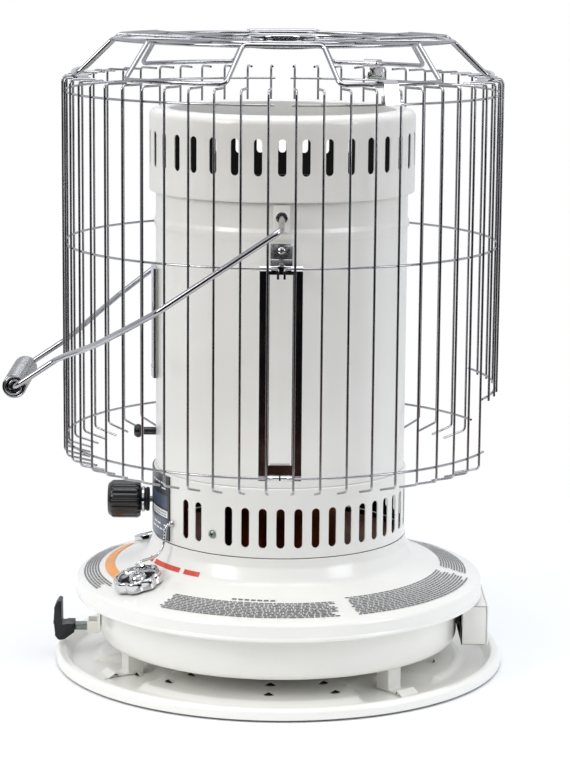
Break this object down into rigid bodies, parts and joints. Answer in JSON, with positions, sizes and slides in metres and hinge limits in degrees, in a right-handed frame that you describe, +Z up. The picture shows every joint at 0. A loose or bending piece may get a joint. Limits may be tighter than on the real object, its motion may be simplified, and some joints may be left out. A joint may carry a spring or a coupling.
{
  "type": "kerosene heater",
  "caption": "Round convection heater: white enamel tank, vented drum and cap band in a chrome wire guard, with a bail handle, wick knob and lighting lever.",
  "frame": {"origin": "centre of the drip tray's underside", "axes": "+Z up, -Y to the front where the wick knob is, X along the handle's axis"},
  "size_m": [0.4629, 0.4982, 0.6273],
  "materials": {
    "white_enamel": "gloss",
    "chrome_plate": "polished",
    "plain_steel": "plain",
    "brass": "warm, heat-tinted",
    "black_plastic": "gloss",
    "dark_panel": "satin",
    "wick_cotton": "woven",
    "mica_sheet": "clear, slightly amber",
    "rubber": "matt"
  },
  "bodies": {
    "root": {"drip_tray": "white_enamel", "leg_front_left": "white_enamel", "leg_front_right": "white_enamel", "leg_rear_left": "white_enamel", "leg_rear_right": "white_enamel", "tank_pan": "white_enamel", "tank_deck": "white_enamel", "vented_skirt": "white_enamel", "drum": "white_enamel", "cap_band": "white_enamel", "handle_tab_left": "white_enamel", "handle_tab_right": "white_enamel", "battery_case": "white_enamel", "guard_front": "chrome_plate", "guard_rear": "chrome_plate", "guard_plate_left": "chrome_plate", "guard_plate_right": "chrome_plate", "guard_bracket_left": "chrome_plate", "guard_bracket_right": "chrome_plate", "window_frame": "chrome_plate", "chain_eyelet": "chrome_plate", "cap_chain": "chrome_plate", "fuel_gauge_bezel": "chrome_plate", "filler_neck": "plain_steel", "skirt_screw_left": "plain_steel", "skirt_screw_right": "plain_steel", "bracket_screw_left": "plain_steel", "bracket_screw_right": "plain_steel", "air_tube": "plain_steel", "lever_bracket": "plain_steel", "battery_1": "plain_steel", "battery_2": "plain_steel", "wick_guide": "brass", "control_panel": "dark_panel", "mica_window": "mica_sheet"},
    "handle": {"handle_bail": "chrome_plate", "handle_grip": "chrome_plate"},
    "wick_control": {"wick_knob": "black_plastic", "wick_shaft": "plain_steel"},
    "wick_lift": {"wick": "wick_cotton", "wick_holder": "plain_steel"},
    "burner": {"outer_flame_tube": "plain_steel", "inner_flame_tube": "plain_steel", "flame_spreader": "plain_steel", "burner_knob": "black_plastic"},
    "ignition_lever": {"lever_bar": "plain_steel", "lever_pad": "black_plastic"},
    "igniter": {"igniter_arm": "plain_steel", "igniter_coil": "plain_steel"},
    "cap_stem": {"cap_swivel": "chrome_plate", "cap_gasket": "rubber"},
    "fuel_cap": {"fuel_cap": "chrome_plate"},
    "shutoff": {"shutoff_button": "black_plastic"},
    "top_guard": {"top_guard": "chrome_plate"},
    "clip_near": {"clip_near": "chrome_plate"},
    "clip_far": {"clip_far": "chrome_plate"},
    "battery_cover": {"battery_cover": "white_enamel"},
    "tip_weight": {"tip_weight": "plain_steel"},
    "gauge_float": {"fuel_gauge_float": "brass"},
    "gauge_needle": {"fuel_gauge_needle": "black_plastic"}
  },
  "joints": [
    {"name": "handle_swing", "type": "hinge", "parent": "root", "child": "handle", "pos_m": [0, 0, 0.462], "axis": [-1, 0, 0], "range_deg": [0, 248]},
    {"name": "wick_turn", "type": "hinge", "parent": "root", "child": "wick_control", "pos_m": [0, -0.1265, 0.162], "axis": [0, 1, 0], "range_deg": [0, 115]},
    {"name": "wick_raise", "type": "slide", "parent": "root", "child": "wick_lift", "axis": [0, 0, 1], "range_m": [0, 0.014]},
    {"name": "burner_turn", "type": "hinge", "parent": "root", "child": "burner", "pos_m": [0, 0, 0.204], "axis": [0, 0, 1], "range_deg": [-6, 6]},
    {"name": "lever_press", "type": "hinge", "parent": "root", "child": "ignition_lever", "pos_m": [0, -0.186, 0.0295], "axis": [1, 0, 0], "range_deg": [0, 6], "stiffness_Nm_per_rad": 0.3, "springref_deg": -11.46},
    {"name": "igniter_advance", "type": "slide", "parent": "root", "child": "igniter", "axis": [-0.342, 0.9397, 0], "range_m": [0, 0.006]},
    {"name": "cap_lift", "type": "slide", "parent": "root", "child": "cap_stem", "axis": [0.1585, -0.2181, 0.963], "range_m": [0, 0.03], "deforming": ["cap_chain"]},
    {"name": "cap_turn", "type": "hinge", "parent": "cap_stem", "child": "fuel_cap", "pos_m": [0.09875, -0.13592, 0.09756], "axis": [0.1585, -0.2181, 0.963], "range_deg": [0, 270]},
    {"name": "shutoff_press", "type": "slide", "parent": "root", "child": "shutoff", "axis": [0.342, 0.9397, 0], "range_m": [0, 0.005], "stiffness_N_per_m": 150, "springref_m": -0.003},
    {"name": "top_guard_lift", "type": "slide", "parent": "root", "child": "top_guard", "axis": [0, 0, 1], "range_m": [0, 0.12]},
    {"name": "clip_near_swing", "type": "hinge", "parent": "top_guard", "child": "clip_near", "pos_m": [0.18319, 0.092, 0.59097], "axis": [0.4488, -0.8936, 0], "range_deg": [0, 85]},
    {"name": "clip_far_swing", "type": "hinge", "parent": "top_guard", "child": "clip_far", "pos_m": [-0.18319, 0.092, 0.59097], "axis": [0.4488, 0.8936, 0], "range_deg": [0, 85]},
    {"name": "battery_cover_open", "type": "hinge", "parent": "root", "child": "battery_cover", "pos_m": [0, 0.2087, 0.025], "axis": [-1, 0, 0], "range_deg": [0, 95]},
    {"name": "tip_swing", "type": "hinge", "parent": "root", "child": "tip_weight", "pos_m": [-0.07188, 0.0415, 0.175], "axis": [-0.866, 0.5, 0], "range_deg": [-20, 20]},
    {"name": "float_ride", "type": "slide", "parent": "root", "child": "gauge_float", "axis": [0, 0, 1], "range_m": [-0.018, 0]},
    {"name": "gauge_turn", "type": "hinge", "parent": "root", "child": "gauge_needle", "pos_m": [-0.09875, -0.13592, 0.09756], "axis": [-0.1585, -0.2181, 0.963], "range_deg": [0, 120]}
  ],
  "couplings": [
    {"joint": "wick_turn", "follows": "wick_raise", "rad_per_m": 142.86},
    {"joint": "igniter_advance", "follows": "lever_press", "m_per_rad": 0.0572},
    {"joint": "gauge_turn", "follows": "float_ride", "rad_per_m": -116}
  ]
}
